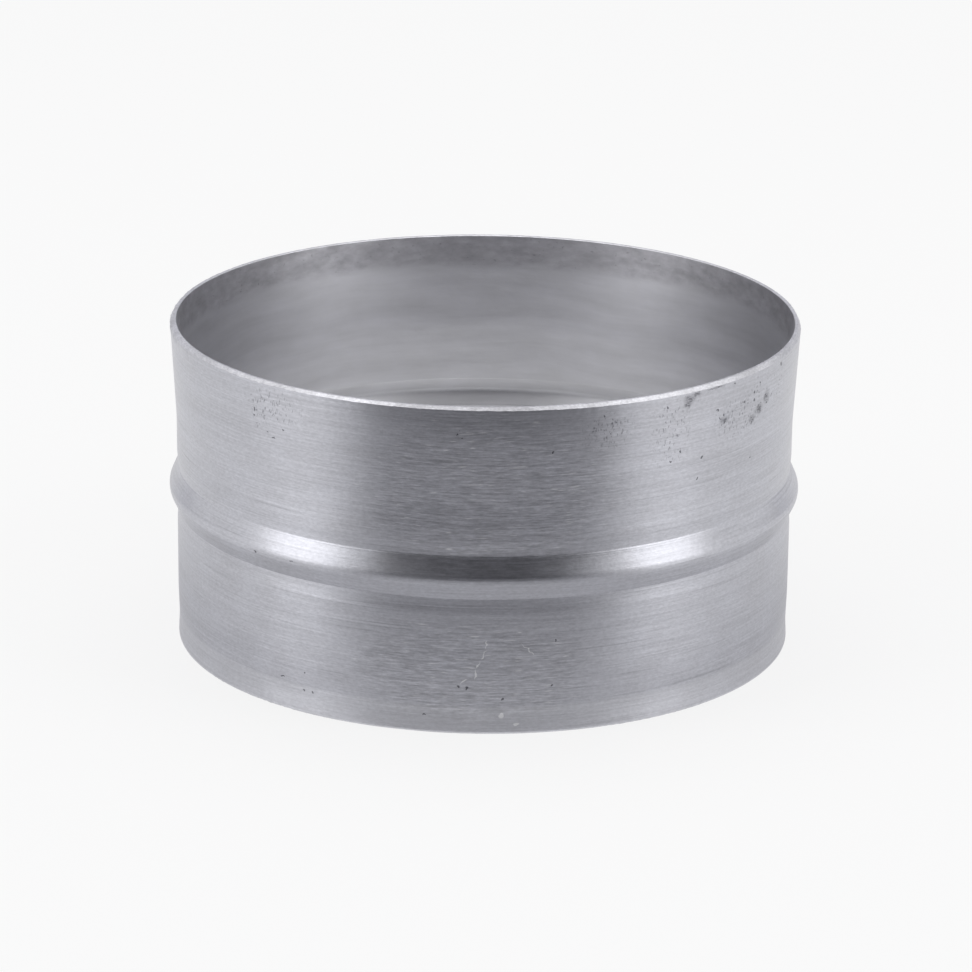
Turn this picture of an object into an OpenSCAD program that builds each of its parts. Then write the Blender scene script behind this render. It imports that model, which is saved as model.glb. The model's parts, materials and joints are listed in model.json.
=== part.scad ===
// Male duct coupling: one seamless ring of sheet aluminium with a hollow stop bead rolled into it.
// A duct or hose slides over each end as far as the bead.
// Millimetres, +Z up. The origin is the centre of the bottom end.

/* [Ring] */
// Outside diameter of the straight wall
wall_d = 98; // [60:0.5:200]
// Thickness of the sheet
sheet_t = 1; // [0.6:0.1:1.5]
// Length from the bottom end to the rim
ring_h = 52; // [48:0.5:120]

/* [Stop bead] */
// Height of the bead's crest above the bottom end
bead_at = 24.8; // [14:0.1:30]
// How far the crest stands out from the wall
bead_rise = 1.25; // [0.6:0.05:2.4]
// Width of the bead between the corners where its flanks meet the wall
bead_w = 6.4; // [5:0.1:9]
// Outside radius of the bead's crown
crown_r = 2; // [1.6:0.1:2.6]
// Outside radius of the hollow at each root of the bead
root_r = 1; // [0.2:0.1:2]

/* [Flared end] */
// Length of the flare, down from the rim
flare_h = 15.8; // [4:0.1:18]
// How much wider the flare makes the rim's radius
flare_rise = 0.9; // [0.2:0.05:3]
// Radius of the soft bend at the foot of the flare
flare_bend_r = 40; // [5:1:80]

/* [Necked end] */
// Depth of the shallow neck that the trimming roller leaves near the bottom end
neck_depth = 0.15; // [0.05:0.05:0.4]
// Height of the deepest place of the neck
neck_at = 3; // [2:0.1:4]
// Height at which the neck has run out into the straight wall
neck_end = 8; // [6:0.1:11]
// Radius of the neck's bends
neck_bend_r = 12; // [2:0.5:20]

/* [Cut edges] */
// Height of the bevel filed round the outside of the rim
rim_bevel_h = 0.6; // [0.1:0.05:1.2]
// Width of that bevel across the rim
rim_bevel_w = 0.35; // [0.1:0.05:0.45]
// Size of the small break on the other three edges
edge_break = 0.1; // [0.02:0.01:0.15]

/* [Smoothness] */
// Most degrees that one facet of a bend turns through
bend_step = 4; // [1:0.5:10]
// Facets round the ring in the preview
$fn = 180; // [48:12:360]

/* [Hidden] */
wall_r = wall_d / 2;
rim_r = wall_r + flare_rise;
neck_r = wall_r - neck_depth;

// The crown's centre lies this far outside the wall, and each flank is a tangent from its root to the crown
crown_out = bead_rise - crown_r;
half_bead_w = bead_w / 2;
flank_angle = atan2(crown_out, half_bead_w) + asin(crown_r / norm([half_bead_w, crown_out]));
// Height above the wall of the point where the two flanks would meet
flank_meet = half_bead_w * tan(flank_angle);

// The outside of the sheet, from the bottom end to the rim: radius, height and bend radius of each corner
outside = [
    [wall_r, 0, 0],
    [neck_r, neck_at, neck_bend_r],
    [wall_r, neck_end, neck_bend_r],
    [wall_r, bead_at - half_bead_w, root_r],
    [wall_r + flank_meet, bead_at, crown_r],
    [wall_r, bead_at + half_bead_w, root_r],
    [wall_r, ring_h - flare_h, flare_bend_r],
    [rim_r, ring_h, 0],
];

// Where a corner lies: its radius and height
function place(corner) = [corner[0], corner[1]];

// The direction from one corner to the next, in degrees from the horizontal
function heading(a, b) = atan2(b[1] - a[1], b[0] - a[0]);

// Left of a direction, which is towards the axis when the sheet runs upwards
function left_of(angle) = [-sin(angle), cos(angle)];

// A bend of the sheet. depth is 0 on the outside and the sheet's thickness on the inside,
// and both faces turn about one centre, so the sheet keeps its thickness round the bend.
// The facets are even in number, so that the bead's crest has a corner on it
function bend(before, corner, after, depth) =
    let (
        start_heading = heading(before, corner),
        turn = heading(corner, after) - start_heading,
        side = sign(turn),
        reach = corner[2] * tan(abs(turn) / 2),
        start = place(corner) - reach * [cos(start_heading), sin(start_heading)],
        centre = start + side * corner[2] * left_of(start_heading),
        face_r = corner[2] - side * depth,
        facets = 2 * ceil(abs(turn) / bend_step / 2)
    )
    [for (i = [0:facets]) centre - side * face_r * left_of(start_heading + turn * i / facets)];

// One face of the sheet between its two cut ends
function face_between_ends(path, depth) = [
    for (i = [1:len(path) - 2])
        each bend(path[i - 1], path[i], path[i + 1], depth)
];

// The point at a height on a face's straight run to a cut end. The ends are cut square to the axis,
// so the sheet is a little thicker there, measured along the radius
function end_point(end, next, depth, height) =
    let (slope = (next[0] - end[0]) / (next[1] - end[1]))
    [end[0] + slope * (height - end[1]) - depth * sqrt(1 + slope * slope), height];

module sheet_profile() {
    last = len(outside) - 1;
    foot = outside[0];
    foot_next = outside[1];
    rim = outside[last];
    rim_next = outside[last - 1];
    foot_out = end_point(foot, foot_next, 0, 0);
    foot_in = end_point(foot, foot_next, sheet_t, 0);
    rim_out = end_point(rim, rim_next, 0, ring_h);
    rim_in = end_point(rim, rim_next, sheet_t, ring_h);
    inside_down = face_between_ends(outside, sheet_t);
    polygon(concat(
        [foot_out - [edge_break, 0], end_point(foot, foot_next, 0, edge_break)],
        face_between_ends(outside, 0),
        [end_point(rim, rim_next, 0, ring_h - rim_bevel_h), rim_out - [rim_bevel_w, 0]],
        [rim_in + [edge_break, 0], end_point(rim, rim_next, sheet_t, ring_h - edge_break)],
        [for (i = [len(inside_down) - 1:-1:0]) inside_down[i]],
        [end_point(foot, foot_next, sheet_t, edge_break), foot_in + [edge_break, 0]]
    ));
}

// The coupling, bare aluminium
module coupling() {
    color("silver")
        rotate_extrude()
            sheet_profile();
}

coupling();
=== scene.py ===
import json
import math

import bmesh
import bpy
from mathutils import Matrix, Vector

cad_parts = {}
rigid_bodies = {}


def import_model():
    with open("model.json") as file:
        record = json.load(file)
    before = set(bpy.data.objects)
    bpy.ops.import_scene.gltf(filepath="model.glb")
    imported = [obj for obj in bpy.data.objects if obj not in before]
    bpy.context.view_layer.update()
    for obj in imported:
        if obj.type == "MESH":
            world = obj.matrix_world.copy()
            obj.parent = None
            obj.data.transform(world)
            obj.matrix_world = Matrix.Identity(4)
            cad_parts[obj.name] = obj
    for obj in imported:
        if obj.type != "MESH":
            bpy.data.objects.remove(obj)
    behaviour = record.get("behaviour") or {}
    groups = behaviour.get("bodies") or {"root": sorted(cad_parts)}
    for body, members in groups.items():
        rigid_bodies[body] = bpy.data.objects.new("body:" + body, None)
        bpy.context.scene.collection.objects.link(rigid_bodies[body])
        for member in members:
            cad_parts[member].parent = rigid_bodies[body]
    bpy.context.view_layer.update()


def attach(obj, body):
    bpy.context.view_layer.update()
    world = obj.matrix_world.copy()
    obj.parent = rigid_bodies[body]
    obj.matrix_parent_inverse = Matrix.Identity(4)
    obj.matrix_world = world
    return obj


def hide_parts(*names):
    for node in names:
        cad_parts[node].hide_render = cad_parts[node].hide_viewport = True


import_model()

MM = 0.001

# The spun ring in millimetres, as the solids have it
WALL_R = 49.0
SHEET = 1.0
RING_H = 52.0
BEAD_AT = 24.8
BEAD_RISE = 1.25
HALF_BEAD = 3.2
CROWN_R = 2.0
ROOT_R = 1.0
FLARE_FROM = 36.2
FLARE_RISE = 0.9
FLARE_BEND_R = 40.0
NECK_DEPTH = 0.15
NECK_AT = 3.0
NECK_END = 8.0
NECK_BEND_R = 12.0
EDGE_BREAK = 0.12

# What the solids leave out: the bevel filed at a slant, the pinch and the thin ridges left by the beading
# rollers, the narrower hollow inside the bead, and the lower root rolled a little higher
BEVEL_H = 0.72
BEVEL_W = 0.45
PINCH = 0.15
PINCH_H = 2.6
RIDGE = 0.07
RIDGE_W = 0.14
HALF_HOLLOW = 2.3
HOLLOW_CROWN_R = 0.9
LOW_ROOT_UP = 0.25

# How fine the mesh is: facets round the ring, degrees turned by one facet of a bend and the shortest facet,
# longest steps along the straight runs
ROUND = 648
BEND_STEP = 5.0
SHORTEST = 0.07
STEP_OUTSIDE = 1.3
STEP_INSIDE = 1.7


def deselect_all():
    """Nothing stays selected, so that the next operator acts only on what is made next."""
    for thing in bpy.context.scene.objects:
        thing.select_set(False)


def flank_rise(half, rise, crown_r):
    """How far above the wall the two flanks of a bead would meet, with each a tangent from its root to the crown."""
    out = rise - crown_r
    return half * math.tan(math.atan2(out, half) + math.asin(crown_r / math.hypot(half, out)))


def outside_corners():
    """Radius, height and bend radius of each corner of the sheet's outside, from the bottom end to the rim."""
    low, high = BEAD_AT - HALF_BEAD + LOW_ROOT_UP, BEAD_AT + HALF_BEAD
    waist = WALL_R - PINCH
    return [
        (WALL_R, 0.0, 0.0),
        (WALL_R - NECK_DEPTH, NECK_AT, NECK_BEND_R),
        (WALL_R, NECK_END, NECK_BEND_R),
        (WALL_R, low - PINCH_H, 6.0),
        (waist, low - 2 * RIDGE_W, 0.1),
        (waist + RIDGE, low - RIDGE_W, 0.05),
        (WALL_R, low, ROOT_R / 3),
        (WALL_R + flank_rise(HALF_BEAD, BEAD_RISE, CROWN_R), BEAD_AT, CROWN_R),
        (WALL_R, high, ROOT_R / 2),
        (waist + 1.6 * RIDGE, high + 1.2 * RIDGE_W, 0.05),
        (waist, high + 2.6 * RIDGE_W, 0.2),
        (WALL_R, high + PINCH_H, 6.0),
        (WALL_R, FLARE_FROM, FLARE_BEND_R),
        (WALL_R + FLARE_RISE, RING_H, 0.0),
    ]


def inside_corners():
    """The same for the inside, where the hollow of the bead is narrower than the bead."""
    wall = WALL_R - SHEET
    return [
        (wall, 0.0, 0.0),
        (wall - NECK_DEPTH, NECK_AT, NECK_BEND_R),
        (wall, NECK_END, NECK_BEND_R),
        (wall, BEAD_AT - HALF_HOLLOW, 0.6),
        (wall + flank_rise(HALF_HOLLOW, BEAD_RISE, HOLLOW_CROWN_R), BEAD_AT, HOLLOW_CROWN_R),
        (wall, BEAD_AT + HALF_HOLLOW, 0.6),
        (wall, FLARE_FROM, FLARE_BEND_R),
        (wall + FLARE_RISE, RING_H, 0.0),
    ]


def bend(before, corner, after):
    """The points of one bend, which is an arc that touches the runs on both sides of it."""
    start = math.atan2(corner[1] - before[1], corner[0] - before[0])
    turn = math.atan2(after[1] - corner[1], after[0] - corner[0]) - start
    side = math.copysign(1.0, turn)
    reach = corner[2] * math.tan(abs(turn) / 2)
    first = Vector(corner[:2]) - reach * Vector((math.cos(start), math.sin(start)))
    centre = first + side * corner[2] * Vector((-math.sin(start), math.cos(start)))
    step = max(math.radians(BEND_STEP), SHORTEST / corner[2])
    facets = 2 * math.ceil(abs(turn) / step / 2)
    headings = [start + turn * i / facets for i in range(facets + 1)]
    return [centre - side * corner[2] * Vector((-math.sin(a), math.cos(a))) for a in headings]


def end_point(end, following, height):
    """The point at a height on the straight run to a cut end."""
    slope = (following[0] - end[0]) / (following[1] - end[1])
    return Vector((end[0] + slope * (height - end[1]), height))


def face(corners, top, step):
    """One face of the sheet between its cut ends, with its straight runs cut into steps."""
    run = [end_point(corners[0], corners[1], EDGE_BREAK)]
    for before, corner, after in zip(corners, corners[1:], corners[2:]):
        run += bend(before, corner, after)
    run.append(end_point(corners[-1], corners[-2], top))
    fine = [run[0]]
    for point in run[1:]:
        start = fine[-1]
        pieces = math.ceil((point - start).length / step)
        fine += [start.lerp(point, i / pieces) for i in range(1, pieces + 1)]
    return fine


def section():
    """The section of the sheet as one closed line: up the outside, over the bevelled rim and down the inside."""
    outer, inner = outside_corners(), inside_corners()
    return (
        [Vector((WALL_R - EDGE_BREAK, 0))] + face(outer, RING_H - BEVEL_H, STEP_OUTSIDE)
        + [Vector((WALL_R + FLARE_RISE - BEVEL_W, RING_H)), Vector((inner[-1][0] + EDGE_BREAK, RING_H))]
        + face(inner, RING_H - EDGE_BREAK, STEP_INSIDE)[::-1] + [Vector((inner[0][0] + EDGE_BREAK, 0))]
    )


def select_where(mesh, wanted):
    """In edit mode, selects just the vertices that a test picks, by their place in millimetres."""
    shape = bmesh.from_edit_mesh(mesh)
    shape.select_mode = {"VERT"}
    for vertex in shape.verts:
        vertex.select = wanted(vertex.co.x / MM, vertex.co.y / MM, vertex.co.z / MM)
    shape.select_flush_mode()
    bmesh.update_edit_mesh(mesh)


def spin_ring():
    """The section drawn point by point and turned once about the duct's axis, as the sheet is spun."""
    points = section()
    deselect_all()
    bpy.ops.mesh.primitive_plane_add(size=MM, location=(points[0].x * MM, 0, points[0].y * MM))
    ring = bpy.context.object
    ring.name = "spun_ring"
    bpy.ops.object.mode_set(mode="EDIT")
    bpy.ops.mesh.merge(type="CENTER")
    for here, there in zip(points, points[1:]):
        move = (there - here) * MM
        bpy.ops.mesh.extrude_region_move(TRANSFORM_OT_translate={"value": (move.x, 0, move.y)})
    bpy.ops.object.mode_set(mode="OBJECT")
    bpy.ops.object.transform_apply(location=True)
    bpy.ops.object.mode_set(mode="EDIT")
    ends = (points[0], points[-1])
    select_where(ring.data, lambda x, y, z: any(math.dist((x, z), end) < 0.001 for end in ends))
    bpy.ops.mesh.edge_face_add()
    bpy.ops.object.mode_set(mode="OBJECT")
    turn = ring.modifiers.new("turn", "SCREW")
    turn.steps = turn.render_steps = ROUND
    turn.use_merge_vertices = True
    turn.merge_threshold = 0.001 * MM
    bpy.ops.object.modifier_apply(modifier=turn.name)
    bpy.ops.object.mode_set(mode="EDIT")
    bpy.ops.mesh.select_all(action="SELECT")
    bpy.ops.mesh.normals_make_consistent(inside=False)
    bpy.ops.object.mode_set(mode="OBJECT")
    return ring


def slant_bevel(ring):
    """The bevel was filed a little out of true, so it is narrow in front and wide behind and on the right."""
    bpy.ops.object.mode_set(mode="EDIT")
    low = RING_H - BEVEL_H
    select_where(ring.data, lambda x, y, z: abs(z - low) < 0.01)
    bpy.ops.transform.rotate(value=math.radians(0.31), orient_axis="X", center_override=(0, 0, low * MM))
    bpy.ops.transform.rotate(value=math.radians(-0.14), orient_axis="Y", center_override=(0, 0, low * MM))
    bpy.ops.object.mode_set(mode="OBJECT")


def bearing(x, y):
    """Degrees to the right of straight in front."""
    return math.degrees(math.atan2(x, -y))


def roughen_edges(ring):
    """The filed edges are ragged, most of all at the left of the rim and where the shears bit the bottom."""
    outside = WALL_R - 0.3
    # The rim's inner edge is broken too finely to be moved so far without folding over
    bevel = WALL_R + 0.2
    edges = [
        (3, 0.05, lambda x, y, z: 50.6 < z < 51.9 and math.hypot(x, y) > bevel),
        (4, 0.11, lambda x, y, z: 50.6 < z < 52.1 and math.hypot(x, y) > bevel and -125 < bearing(x, y) < -35),
        (5, 0.05, lambda x, y, z: z > 51.9),
        (6, 0.09, lambda x, y, z: z < 0.2 and math.hypot(x, y) > outside and -60 < bearing(x, y) < -25),
        (7, 0.08, lambda x, y, z: z < 0.2 and math.hypot(x, y) > outside and 22 < bearing(x, y) < 45),
    ]
    bpy.ops.object.mode_set(mode="EDIT")
    for seed, offset, wanted in edges:
        select_where(ring.data, wanted)
        bpy.ops.transform.vertex_random(offset=offset * MM, uniform=0.0, normal=0.0, seed=seed)
    for end, wanted in ((0.0, lambda x, y, z: z < 0), (RING_H, lambda x, y, z: z > RING_H)):
        select_where(ring.data, wanted)
        bpy.ops.transform.resize(value=(1, 1, 0), center_override=(0, 0, end * MM))
    bpy.ops.object.mode_set(mode="OBJECT")


def wave(ring, name, length, depth, group=None):
    """Very shallow waves in the surface, pressed in by the rollers. They only go inwards, so the ring keeps its size."""
    texture = bpy.data.textures.new(name, "CLOUDS")
    texture.noise_scale = length * MM
    waves = ring.modifiers.new(name, "DISPLACE")
    waves.texture = texture
    waves.texture_coords = "LOCAL"
    waves.strength = depth * MM
    waves.mid_level = 1.0
    if group:
        waves.vertex_group = group
    bpy.ops.object.modifier_apply(modifier=waves.name)


def linear(hex_colour):
    """An sRGB hex colour as the linear colour that a shader takes."""
    parts = [int(hex_colour[i:i + 2], 16) / 255 for i in (1, 3, 5)]
    return [p / 12.92 if p <= 0.04045 else ((p + 0.055) / 1.055) ** 2.4 for p in parts] + [1.0]


def add(tree, kind, inputs, output=None, **settings):
    """Adds a node with its settings, gives each of its inputs a value or a link, and hands back the output asked
    for, or else the first one in use."""
    node = tree.nodes.new("ShaderNode" + kind)
    for name, value in settings.items():
        setattr(node, name, value)
    for name, value in inputs.items():
        socket = node.inputs[name] if isinstance(name, int) else next(
            s for s in node.inputs if s.enabled and s.name == name)
        if isinstance(value, bpy.types.NodeSocket):
            tree.links.new(value, socket)
        else:
            socket.default_value = value
    return node.outputs[output] if output else next((s for s in node.outputs if s.enabled), None)


def new_material(name):
    material = bpy.data.materials.new(name)
    material.use_nodes = True
    material.node_tree.nodes.clear()
    return material


def cloud(tree, place, across, high, detail=2.0, start=0.0, output="Fac"):
    """A cloud pattern on Object coordinates. Its features are `across` millimetres long round the ring and `high`
    millimetres high, so that a long and low one draws streaks."""
    drawn = add(tree, "Mapping", {"Vector": place, "Location": (start, start, start),
                                  "Scale": (1 / (across * MM), 1 / (across * MM), 1 / (high * MM))})
    return add(tree, "TexNoise", {"Vector": drawn, "Scale": 1.0, "Detail": detail, "Roughness": 0.6}, output)


def unrolled(tree, place, radius):
    """The wall laid out flat, in millimetres: how far to the right of straight in front, and how high."""
    x = add(tree, "SeparateXYZ", {"Vector": place}, "X")
    y = add(tree, "SeparateXYZ", {"Vector": place}, "Y")
    z = add(tree, "SeparateXYZ", {"Vector": place}, "Z")
    ahead = add(tree, "Math", {0: y, 1: -1.0}, operation="MULTIPLY")
    bearing = add(tree, "Math", {0: x, 1: ahead}, operation="ARCTAN2")
    right = add(tree, "Math", {0: bearing, 1: radius}, operation="MULTIPLY")
    high = add(tree, "Math", {0: z, 1: 1 / MM}, operation="MULTIPLY")
    return add(tree, "CombineXYZ", {"X": right, "Y": high})


def marks(tree, flat, places, radius=WALL_R, soft=0.5):
    """1 inside each mark and 0 outside. A mark is given by its bearing in degrees, its height, and half its length
    and half its width in millimetres. A tilted one also has its tilt in degrees."""
    nearest = None
    for bearing, height, length, width, *tilt in places:
        right = math.radians(bearing) * radius
        if tilt:
            local = add(tree, "Mapping", {"Vector": flat, "Location": (right, height, 0),
                                          "Rotation": (0, 0, math.radians(tilt[0])),
                                          "Scale": (length, width, 1)}, vector_type="TEXTURE")
        else:
            local = add(tree, "VectorMath", {0: flat, 1: (1 / length, 1 / width, 0),
                                             2: (-right / length, -height / width, 0)}, operation="MULTIPLY_ADD")
        far = add(tree, "VectorMath", {0: local}, "Value", operation="LENGTH")
        nearest = far if nearest is None else add(tree, "Math", {0: nearest, 1: far}, operation="MINIMUM")
    return add(tree, "MapRange", {"Value": nearest, "From Min": 1.0, "From Max": 1.0 - soft},
               interpolation_type="SMOOTHSTEP")


def pits(tree, flat, spacing, filled, largest):
    """Round pits of many sizes, strewn at random: their mean spacing in millimetres, the share of places that has
    one, and the radius of the largest against the spacing."""
    cell = {"Vector": flat, "Scale": 1 / spacing, "Randomness": 1.0}
    middle = add(tree, "TexVoronoi", cell, "Distance", voronoi_dimensions="2D")
    draw = add(tree, "SeparateColor", {0: add(tree, "TexVoronoi", cell, "Color", voronoi_dimensions="2D")}, "Red")
    size = add(tree, "MapRange", {"Value": draw, "From Min": 1.0 - filled, "From Max": 1.0, "To Min": 0.01,
                                  "To Max": largest})
    return add(tree, "MapRange", {"Value": middle, "From Min": size, "From Max": 0.0},
               interpolation_type="SMOOTHSTEP")


# Marks on the outside: bearing, height, half length, half width, tilt
BIG_PITS = [
    (58.6, 44.8, 0.45, 0.30, -55), (58.0, 45.5, 0.20, 0.45), (47.4, 45.1, 0.40, 0.26), (46.2, 45.9, 0.40, 0.16, -40),
    (47.1, 46.4, 0.36, 0.18, -45), (45.3, 47.4, 0.40, 0.16, -35), (55.8, 43.4, 0.22, 0.34), (56.3, 46.8, 0.22, 0.28),
    (60.5, 46.8, 0.30, 0.20), (62.8, 46.3, 0.22, 0.34), (61.1, 45.3, 0.26, 0.22), (52.8, 47.3, 0.20, 0.28),
    (49.6, 51.0, 0.34, 0.26), (55.9, 48.2, 0.28, 0.26), (57.8, 49.3, 0.26, 0.22), (66.5, 50.4, 0.34, 0.50, 20),
    (33.5, 49.8, 0.26, 0.26), (36.7, 42.4, 0.22, 0.26), (34.7, 41.0, 0.22, 0.22), (42.1, 40.5, 0.22, 0.26),
    (56.3, 37.7, 0.26, 0.24), (41.3, 37.2, 0.30, 0.26), (12.0, 44.7, 0.20, 0.26), (20.9, 49.9, 0.20, 0.16),
    (-37.8, 44.8, 0.26, 0.24), (-44.5, 47.1, 0.14, 0.45, 10), (-44.7, 46.1, 0.28, 0.18), (-40.2, 43.3, 0.50, 0.12),
    (-41.6, 43.9, 0.26, 0.12), (-4.2, 48.3, 0.12, 0.20), (-4.6, 47.7, 0.20, 0.14), (-3.9, 47.2, 0.30, 0.12),
    (-4.2, 7.7, 0.30, 0.30), (-2.6, 7.5, 0.40, 0.34), (3.7, 5.6, 0.24, 0.36), (-10.3, 2.7, 0.34, 0.14),
    (13.0, 14.9, 0.22, 0.20), (12.6, 7.5, 0.26, 0.22), (-33.8, 6.7, 0.30, 0.16), (-38.7, 5.0, 0.36, 0.18),
    (-33.9, 3.8, 0.18, 0.30), (-44.0, 24.6, 0.34, 0.16), (-35.4, 24.6, 0.34, 0.14), (-32.0, 3.6, 0.14, 0.34),
]
# Painted highlights, mixed towards white: first dashes along the turned lines, then scratches, where they catch the
# light
PAINTED_DASH_HIGHLIGHTS = [
    (-5.4, 46.65, 0.8, 0.10), (-2.3, 46.65, 1.1, 0.12), (4.3, 46.7, 1.0, 0.10), (-6.6, 45.2, 0.6, 0.16),
    (5.9, 42.5, 2.0, 0.10), (-3.9, 42.6, 1.0, 0.10), (-2.0, 39.8, 2.4, 0.08), (12.4, 38.9, 0.9, 0.10),
    (-1.9, 37.4, 1.2, 0.10), (-6.1, 32.1, 0.7, 0.16), (-6.0, 29.5, 0.8, 0.24), (-8.8, 11.1, 1.2, 0.10),
    (-10.7, 17.3, 1.2, 0.10), (6.6, 16.3, 0.5, 0.10), (3.9, 13.75, 4.0, 0.05), (-6.0, 13.75, 3.2, 0.05),
]
PAINTED_SCRATCH_HIGHLIGHTS = [
    (0.75, 14.3, 0.75, 0.13, 80), (0.3, 12.8, 1.0, 0.10, 62), (-0.7, 11.2, 0.8, 0.10, 55), (-1.1, 9.6, 1.1, 0.11, 88),
    (8.1, 13.6, 1.7, 0.09, -42), (-3.2, 8.5, 0.8, 0.16, 25), (3.5, 3.0, 0.5, 0.50), (6.2, 1.5, 0.6, 0.30),
]
PITTED = [(58.5, 47, 4.5, 5.5), (47.5, 46.0, 3.4, 3.2), (66, 48, 3.5, 4.0), (-43.5, 46, 2.6, 2.6), (22, 48, 4, 3)]
SPECKLED = [(34.5, 46.0, 5.0, 8.0), (22, 47.5, 6.0, 4.0), (38.4, 50.2, 2.4, 2.2), (52, 45, 8, 5), (-40, 48, 8, 4)]
SMUDGE = [(38.3, 50.3, 1.7, 1.1), (37.8, 49.6, 0.9, 0.9), (39.8, 51.0, 1.6, 0.6), (44.5, 51.2, 2.8, 0.3),
          (58.3, 45.0, 1.5, 1.3), (47.2, 45.5, 1.4, 0.9), (60.8, 46.4, 1.4, 1.6), (55.9, 44.0, 1.3, 0.9)]


def turned_aluminium():
    """Spun sheet aluminium, turned on the outside and left bare: fine lines round the ring scatter the light up and
    down but hardly sideways, so that lamps show as upright bands."""
    material = new_material("turned_aluminium")
    tree = material.node_tree
    place = add(tree, "TexCoord", {}, "Object")
    flat = unrolled(tree, place, WALL_R)
    height = add(tree, "SeparateXYZ", {"Vector": place}, "Z")
    # The real lines are finer than a pixel, so they are drawn a quarter of a millimetre high
    lines = cloud(tree, place, 16, 0.25, 3.0)
    grain = cloud(tree, place, 0.7, 0.3, 2.0, 3.0)
    bands = cloud(tree, place, 90, 2.2, 2.0, 5.0)
    mottle = cloud(tree, place, 9, 6, 3.0, 7.0)
    shake = cloud(tree, place, 0.8, 0.8, 1.0, 9.0, "Color")
    shake = add(tree, "VectorMath", {0: shake, 1: (0.5, 0.5, 0.5)}, operation="SUBTRACT")
    ragged = add(tree, "VectorMath", {0: shake, 1: (0.9, 0.9, 0), 2: flat}, operation="MULTIPLY_ADD")

    colour = add(tree, "Mix", {"Factor": mottle, "A": linear("#BFBFC5"), "B": linear("#B9BAC1")}, data_type="RGBA")
    for pattern, low, high in ((lines, 0.90, 1.07), (grain, 0.91, 1.08), (bands, 0.97, 1.03), (mottle, 0.94, 1.06)):
        tone = add(tree, "MapRange", {"Value": pattern, "From Min": 0.3, "From Max": 0.7, "To Min": low,
                                      "To Max": high})
        colour = add(tree, "Mix", {"Factor": 1.0, "A": colour, "B": tone}, data_type="RGBA", blend_type="MULTIPLY")

    # A few deeper lines that the tool left right round, duller than the rest
    grooves = add(tree, "MapRange", {"Value": cloud(tree, place, 26, 0.4, 1.0, 11.0), "From Min": 0.66,
                                     "From Max": 0.78, "To Max": 0.16})
    # The lip below the neck is burnished, its sheen painted in as a lighter colour, and painted shade darkens the
    # sheet just under the rim in front
    lip = add(tree, "MapRange", {"Value": height, "From Min": 4.6 * MM, "From Max": 4.0 * MM, "To Max": 0.10})
    # Painted shade: the sheet is darker just under the rim in front
    stain_and_painted_shade = add(tree, "Math", {0: marks(tree, flat, [(2, 50.5, 26, 6.5)], soft=1.0), 1: 0.22}, operation="MULTIPLY")
    for amount, shade in ((grooves, "#000000"), (lip, "#FFFFFF"), (stain_and_painted_shade, "#18181C")):
        colour = add(tree, "Mix", {"Factor": amount, "A": colour, "B": linear(shade)}, data_type="RGBA")

    # Where hands and tools rubbed the front, short fibres run round the ring; how they catch the light is painted in
    # as lighter and darker colour, and painted glints, white highlights, lie along the ring
    rubbed = marks(tree, flat, [(1, 38, 25, 17), (-2, 10, 24, 10)], soft=0.5)
    fibres = cloud(tree, place, 2.5, 0.25, 3.0, 13.0)
    tone = add(tree, "MapRange", {"Value": fibres, "From Min": 0.3, "From Max": 0.7, "To Min": 0.76, "To Max": 1.24})
    colour = add(tree, "Mix", {"Factor": rubbed, "A": colour, "B": tone}, data_type="RGBA", blend_type="MULTIPLY")
    glints = add(tree, "MapRange", {"Value": cloud(tree, place, 2.2, 0.22, 1.0, 17.0), "From Min": 0.66,
                                    "From Max": 0.80})
    glints = add(tree, "Math", {0: glints, 1: rubbed}, operation="MULTIPLY")
    # Painted highlights: the dashes, scratches and glints are mixed towards white
    bright = add(tree, "Math", {0: marks(tree, flat, PAINTED_DASH_HIGHLIGHTS, soft=0.9),
                                1: marks(tree, ragged, PAINTED_SCRATCH_HIGHLIGHTS)}, operation="MAXIMUM")
    bright = add(tree, "Math", {0: bright, 1: glints}, operation="MAXIMUM")
    colour = add(tree, "Mix", {"Factor": add(tree, "Math", {0: bright, 1: 0.55}, operation="MULTIPLY"), "A": colour,
                               "B": linear("#FFFFFF")}, data_type="RGBA")

    strewn = add(tree, "Math", {0: pits(tree, ragged, 0.8, 0.55, 0.40), 1: marks(tree, flat, PITTED, soft=0.8)},
                 operation="MULTIPLY")
    tall = add(tree, "VectorMath", {0: ragged, 1: (1.9, 0.8, 1)}, operation="MULTIPLY")
    flecks = add(tree, "Math", {0: pits(tree, tall, 0.8, 0.9, 0.5), 1: marks(tree, flat, SPECKLED, soft=0.7)},
                 operation="MULTIPLY")
    flecks = add(tree, "Math", {0: flecks, 1: 0.7}, operation="MULTIPLY")
    smudge = add(tree, "MapRange", {"Value": grain, "From Min": 0.35, "From Max": 0.6, "To Min": 0.2})
    smudge = add(tree, "Math", {0: marks(tree, ragged, SMUDGE, soft=0.9), 1: smudge}, operation="MULTIPLY")
    dark = marks(tree, ragged, BIG_PITS)
    for other in (strewn, flecks, smudge):
        dark = add(tree, "Math", {0: dark, 1: other}, operation="MAXIMUM")
    colour = add(tree, "Mix", {"Factor": add(tree, "Math", {0: dark, 1: 0.8}, operation="MULTIPLY"), "A": colour,
                               "B": linear("#46464C")}, data_type="RGBA")

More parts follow.
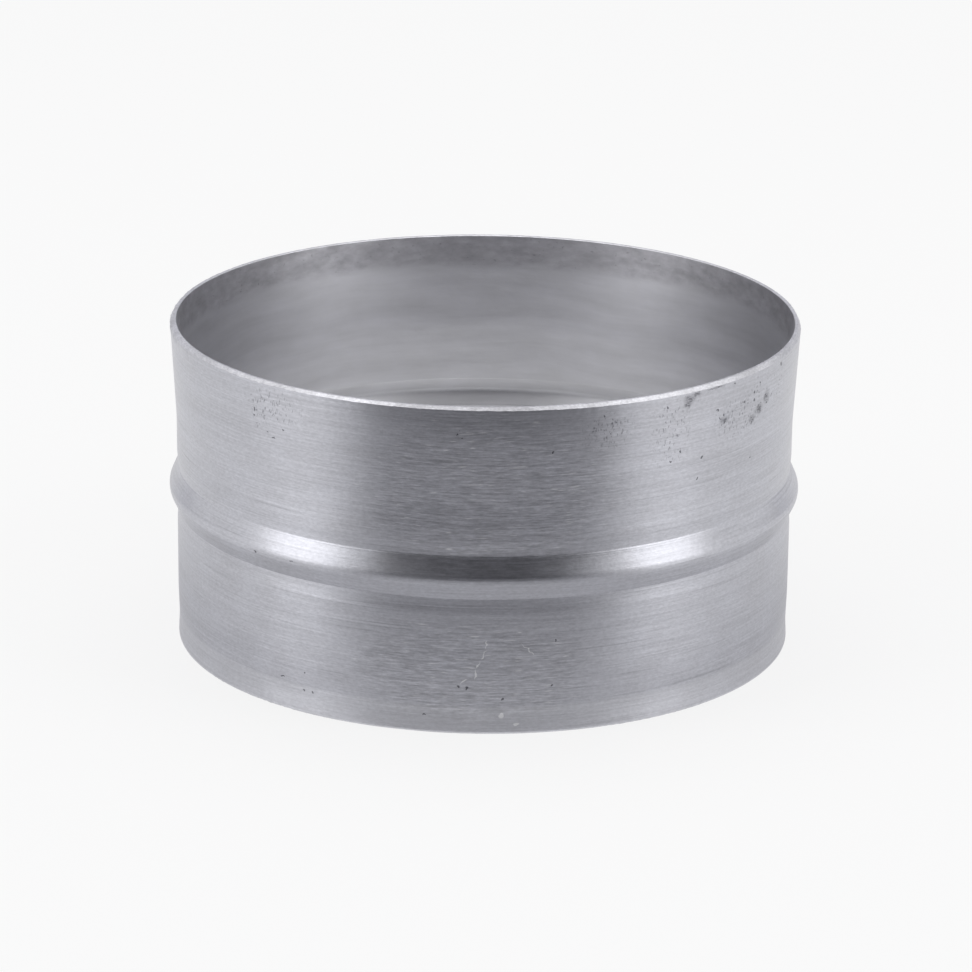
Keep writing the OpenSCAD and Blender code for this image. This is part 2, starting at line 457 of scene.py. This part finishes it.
    # One relief of lines, grain and bands, each weighed by its depth in millimetres
    relief = add(tree, "Math", {0: lines, 1: 0.030}, operation="MULTIPLY")
    relief = add(tree, "Math", {0: grain, 1: 0.022, 2: relief}, operation="MULTIPLY_ADD")
    relief = add(tree, "Math", {0: bands, 1: 0.08, 2: relief}, operation="MULTIPLY_ADD")
    relief = add(tree, "Bump", {"Height": relief, "Strength": 0.6, "Distance": MM})
    rough = add(tree, "MapRange", {"Value": mottle, "From Min": 0.3, "From Max": 0.7, "To Min": 0.33, "To Max": 0.39})
    shader = add(tree, "BsdfPrincipled", {
        "Base Color": colour, "Metallic": 1.0, "Roughness": rough, "Normal": relief, "Anisotropic": 0.75,
        "Anisotropic Rotation": 0.25, "Tangent": add(tree, "Tangent", {}, direction_type="RADIAL", axis="Z")})
    add(tree, "OutputMaterial", {"Surface": shader})
    return material


def inner_aluminium():
    """The inside of the spun sheet, rubbed smoother by the former: softer and more even gloss with long faint swirls,
    duller in the bead's hollow, which the former never touched, and stained under the rim."""
    material = new_material("inner_aluminium")
    tree = material.node_tree
    place = add(tree, "TexCoord", {}, "Object")
    height = add(tree, "SeparateXYZ", {"Vector": place}, "Z")
    swirl = cloud(tree, place, 30, 16, 1.0, 2.0, "Color")
    swirl = add(tree, "VectorMath", {0: swirl, 1: (0, 0, 5 * MM), 2: place}, operation="MULTIPLY_ADD")
    long = cloud(tree, swirl, 34, 3.2, 3.0, 3.0)
    mottle = cloud(tree, place, 8, 4, 4.0, 5.0)
    blotch = cloud(tree, place, 3.4, 1.6, 4.0, 9.0)
    fleck = cloud(tree, place, 0.9, 0.6, 2.0, 1.0)
    # The inside is paler than the turned outside: painted light that brightens the inside of the ring
    colour = add(tree, "Mix", {"Factor": mottle, "A": linear("#CFCFD2"), "B": linear("#C8C8CD")}, data_type="RGBA")
    for pattern, low, high in ((long, 0.90, 1.07), (mottle, 0.94, 1.05)):
        tone = add(tree, "MapRange", {"Value": pattern, "From Min": 0.3, "From Max": 0.7, "To Min": low,
                                      "To Max": high})
        colour = add(tree, "Mix", {"Factor": 1.0, "A": colour, "B": tone}, data_type="RGBA", blend_type="MULTIPLY")
    edge = add(tree, "Math", {0: mottle, 1: 3.0 * MM, 2: height}, operation="MULTIPLY_ADD")
    under_rim = add(tree, "MapRange", {"Value": edge, "From Min": 47.6 * MM, "From Max": 49.6 * MM},
                    interpolation_type="SMOOTHSTEP")
    stain_and_painted_shade = add(tree, "MapRange", {"Value": blotch, "From Min": 0.30, "From Max": 0.70, "To Min": 0.06,
                                   "To Max": 0.50})
    stain_and_painted_shade = add(tree, "Math", {0: stain_and_painted_shade, 1: under_rim}, operation="MULTIPLY")
    colour = add(tree, "Mix", {"Factor": stain_and_painted_shade, "A": colour, "B": linear("#77737A")}, data_type="RGBA")
    speck = add(tree, "MapRange", {"Value": fleck, "From Min": 0.66, "From Max": 0.74, "To Max": 0.35})
    speck = add(tree, "Math", {0: speck, 1: under_rim}, operation="MULTIPLY")
    colour = add(tree, "Mix", {"Factor": speck, "A": colour, "B": linear("#55525A")}, data_type="RGBA")

    from_bead = add(tree, "Math", {0: height, 1: BEAD_AT * MM}, operation="SUBTRACT")
    from_bead = add(tree, "Math", {0: from_bead}, operation="ABSOLUTE")
    rough = add(tree, "MapRange", {"Value": from_bead, "From Min": 3.2 * MM, "From Max": 2.2 * MM, "To Min": 0.38,
                                   "To Max": 0.55})
    relief = add(tree, "Math", {0: mottle, 1: 0.10}, operation="MULTIPLY")
    relief = add(tree, "Math", {0: long, 1: 0.07, 2: relief}, operation="MULTIPLY_ADD")
    relief = add(tree, "Bump", {"Height": relief, "Strength": 0.6, "Distance": MM})
    shader = add(tree, "BsdfPrincipled", {
        "Base Color": colour, "Metallic": 1.0, "Roughness": rough, "Normal": relief, "Anisotropic": 0.4,
        "Anisotropic Rotation": 0.25, "Tangent": add(tree, "Tangent", {}, direction_type="RADIAL", axis="Z")})
    add(tree, "OutputMaterial", {"Surface": shader})
    return material


def cut_aluminium():
    """The sheet's cut ends, filed and left raw: paler fresh metal with the short marks of the file."""
    material = new_material("cut_aluminium")
    tree = material.node_tree
    place = add(tree, "TexCoord", {}, "Object")
    filed = cloud(tree, place, 0.5, 0.3, 3.0)
    worn = cloud(tree, place, 7, 7, 2.0, 4.0)
    colour = linear("#D3D3D8")
    for pattern, low, high in ((filed, 0.80, 1.08), (worn, 0.84, 1.12)):
        tone = add(tree, "MapRange", {"Value": pattern, "From Min": 0.3, "From Max": 0.7, "To Min": low,
                                      "To Max": high})
        colour = add(tree, "Mix", {"Factor": 1.0, "A": colour, "B": tone}, data_type="RGBA", blend_type="MULTIPLY")
    relief = add(tree, "Bump", {"Height": filed, "Strength": 0.6, "Distance": 0.06 * MM})
    shader = add(tree, "BsdfPrincipled", {"Base Color": colour, "Metallic": 1.0, "Roughness": 0.45,
                                          "Normal": relief})
    add(tree, "OutputMaterial", {"Surface": shader})
    return material


def assign_materials(ring):
    """The turned outside, the plainer inside and the bright cut ends each get their own finish."""
    for material in (turned_aluminium(), inner_aluminium(), cut_aluminium()):
        ring.data.materials.append(material)
    for polygon in ring.data.polygons:
        outward = Vector((polygon.center.x, polygon.center.y, 0)).normalized().dot(polygon.normal)
        at_end = polygon.center.z > (RING_H - 1.3) * MM or polygon.center.z < 0.3 * MM
        polygon.material_index = 2 if at_end and abs(polygon.normal.z) > 0.3 else (0 if outward > 0 else 1)


def staged(name, width, depth, location, towards):
    """A flat sheet of the studio, `width` by `depth` metres, with its face turned towards a point."""
    deselect_all()
    bpy.ops.mesh.primitive_plane_add(size=1.0)
    sheet = bpy.context.object
    sheet.name = name
    sheet.scale = (width, depth, 1)
    sheet.location = location
    sheet.rotation_euler = (Vector(towards) - Vector(location)).to_track_quat("Z", "Y").to_euler()
    bpy.ops.object.transform_apply(location=True, rotation=True, scale=True)
    sheet.data.materials.append(new_material(name))
    return sheet


def card(sheet, near_colour, far_colour, near, far, bearings=None, rings=None):
    """Makes a sheet a card that shows only in reflections. Its colour goes from one to the other between two
    distances from the ring's axis, in metres. Between two bearings, in degrees to either side of straight in
    front, it thins out to nothing. With rings, it has a hole under the duct coupling, and thins out only beyond the
    second distance, fully at the third."""
    tree = sheet.data.materials[0].node_tree
    place = add(tree, "TexCoord", {}, "Object")
    distance = add(tree, "VectorMath", {0: place}, "Value", operation="LENGTH")
    mix = add(tree, "MapRange", {"Value": distance, "From Min": near, "From Max": far})
    colour = add(tree, "Mix", {"Factor": mix, "A": linear(near_colour), "B": linear(far_colour)}, data_type="RGBA")
    thin = 0.0
    if bearings:
        x = add(tree, "SeparateXYZ", {"Vector": place}, "X")
        y = add(tree, "SeparateXYZ", {"Vector": place}, "Y")
        aside = add(tree, "Math", {0: x}, operation="ABSOLUTE")
        ahead = add(tree, "Math", {0: y, 1: -1.0}, operation="MULTIPLY")
        turned = add(tree, "Math", {0: aside, 1: ahead}, operation="ARCTAN2")
        thin = add(tree, "MapRange", {"Value": turned, "From Min": math.radians(bearings[0]),
                                      "From Max": math.radians(bearings[1])}, interpolation_type="SMOOTHSTEP")
    # With rings, a grey band stays all round the foot: a painted shade at the foot, seen in reflections
    if rings:
        hole = add(tree, "Math", {0: distance, 1: rings[0]}, operation="LESS_THAN")
        beyond = add(tree, "MapRange", {"Value": distance, "From Min": rings[1], "From Max": rings[2]})
        thin = add(tree, "Math", {0: thin, 1: beyond}, operation="MULTIPLY")
        thin = add(tree, "Math", {0: thin, 1: hole}, operation="MAXIMUM")
    surface = add(tree, "MixShader", {0: thin, 1: add(tree, "Emission", {"Color": colour}),
                                      2: add(tree, "BsdfTransparent", {})})
    add(tree, "OutputMaterial", {"Surface": surface})
    sheet.visible_camera = False
    sheet.visible_diffuse = False
    sheet.visible_shadow = False


def softbox(name, width, height, location, glow):
    """A soft lamp turned towards the ring, as bright to look at as `glow` times white."""
    data = bpy.data.lights.new(name, "AREA")
    data.shape = "RECTANGLE"
    data.size = width
    data.size_y = height
    data.energy = glow * math.pi * width * height
    lamp = bpy.data.objects.new(name, data)
    bpy.context.scene.collection.objects.link(lamp)
    lamp.location = location
    lamp.rotation_euler = (Vector((0, 0, 0.05)) - Vector(location)).to_track_quat("-Z", "Y").to_euler()
    lamp.visible_camera = False


def seen(tree):
    """1 where a camera, glossy or transmission ray looks, so that metal shows the white background too."""
    rays = [add(tree, "LightPath", {}, name) for name in ("Is Camera Ray", "Is Glossy Ray", "Is Transmission Ray")]
    shown = add(tree, "Math", {0: rays[0], 1: rays[1]}, operation="MAXIMUM")
    return add(tree, "Math", {0: shown, 1: rays[2]}, operation="MAXIMUM")


def studio():
    """White paper all round, two tall softboxes beside the ring and one above, a pale wall behind it, and a dim
    room and a grey table in front, with a painted shade round the foot of the ring that shows in reflections."""
    floor = staged("floor_paper", 8.0, 8.0, (0, 0, 0), (0, 0, 1))
    tree = floor.data.materials[0].node_tree
    paper = add(tree, "BsdfDiffuse", {"Color": linear("#F4F4F5")})
    white = add(tree, "Emission", {"Color": linear("#FAFAFA")})
    share = add(tree, "Math", {0: seen(tree), 1: 0.82}, operation="MULTIPLY")
    add(tree, "OutputMaterial", {"Surface": add(tree, "MixShader", {0: share, 1: paper, 2: white})})

    world = bpy.data.worlds.new("studio")
    bpy.context.scene.world = world
    world.use_nodes = True
    tree = world.node_tree
    tree.nodes.clear()
    strength = add(tree, "MapRange", {"Value": seen(tree), "To Min": 0.7, "To Max": 1.0})
    add(tree, "OutputWorld", {"Surface": add(tree, "Background", {"Color": linear("#FAFAFA"),
                                                                  "Strength": strength})})

    for name, turned, width, glow in (("softbox_left", -70, 0.6, 1.4), ("softbox_right", 70, 0.55, 1.4)):
        turn = math.radians(turned)
        softbox(name, width, 1.2, (1.05 * math.sin(turn), -1.05 * math.cos(turn), 0.6), glow)
    softbox("softbox_top", 1.0, 1.0, (0, 0.15, 1.1), 1.05)
    card(staged("dim_room", 3.0, 1.6, (0, -1.0, 0.8), (0, 0, 0.8)), "#2A2A32", "#2A2A32", 0, 1, bearings=(30, 58))
    # The grey table card also carries a painted shade round the foot of the ring
    card(staged("dim_table_and_foot_shade", 1.6, 1.6, (0, 0, 0.0003), (0, 0, 1)), "#DADADC", "#6E6E74", 0.05, 0.25,
         bearings=(30, 56), rings=(0.0488, 0.062, 0.09))
    card(staged("pale_wall", 3.0, 1.6, (0, 1.2, 0.8), (0, 0, 0.8)), "#D0D0D6", "#D0D0D6", 0, 1)


def camera():
    """The photograph's view: a long lens, looking down a little, from straight in front."""
    elevation = math.radians(17.947)
    distance = 0.7322
    aim_low, aim_right = 2.317 * MM, 0.339 * MM
    roll = math.radians(0.59)
    back = Vector((0, -math.cos(elevation), math.sin(elevation)))
    up = Vector((0, math.sin(elevation), math.cos(elevation)))
    middle = Vector((0, 0, 0.026))
    where = middle + back * distance
    aim = middle - up * aim_low + Vector((aim_right, 0, 0))
    data = bpy.data.cameras.new("camera")
    data.lens = 169.4
    data.sensor_width = 36.0
    data.clip_start = 0.01
    view = bpy.data.objects.new("camera", data)
    bpy.context.scene.collection.objects.link(view)
    turn = (aim - where).to_track_quat("-Z", "Y").to_matrix().to_4x4()
    view.matrix_world = Matrix.Translation(where) @ turn @ Matrix.Rotation(roll, 4, "Z")
    bpy.context.scene.camera = view


camera()
studio()
ring = spin_ring()
slant_bevel(ring)
roughen_edges(ring)
wave(ring, "rolling_waves", 11, 0.03)
assign_materials(ring)
bpy.ops.object.shade_smooth_by_angle(angle=math.radians(20))
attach(ring, "root")
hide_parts("coupling")

bpy.context.scene.view_settings.view_transform = "Standard"
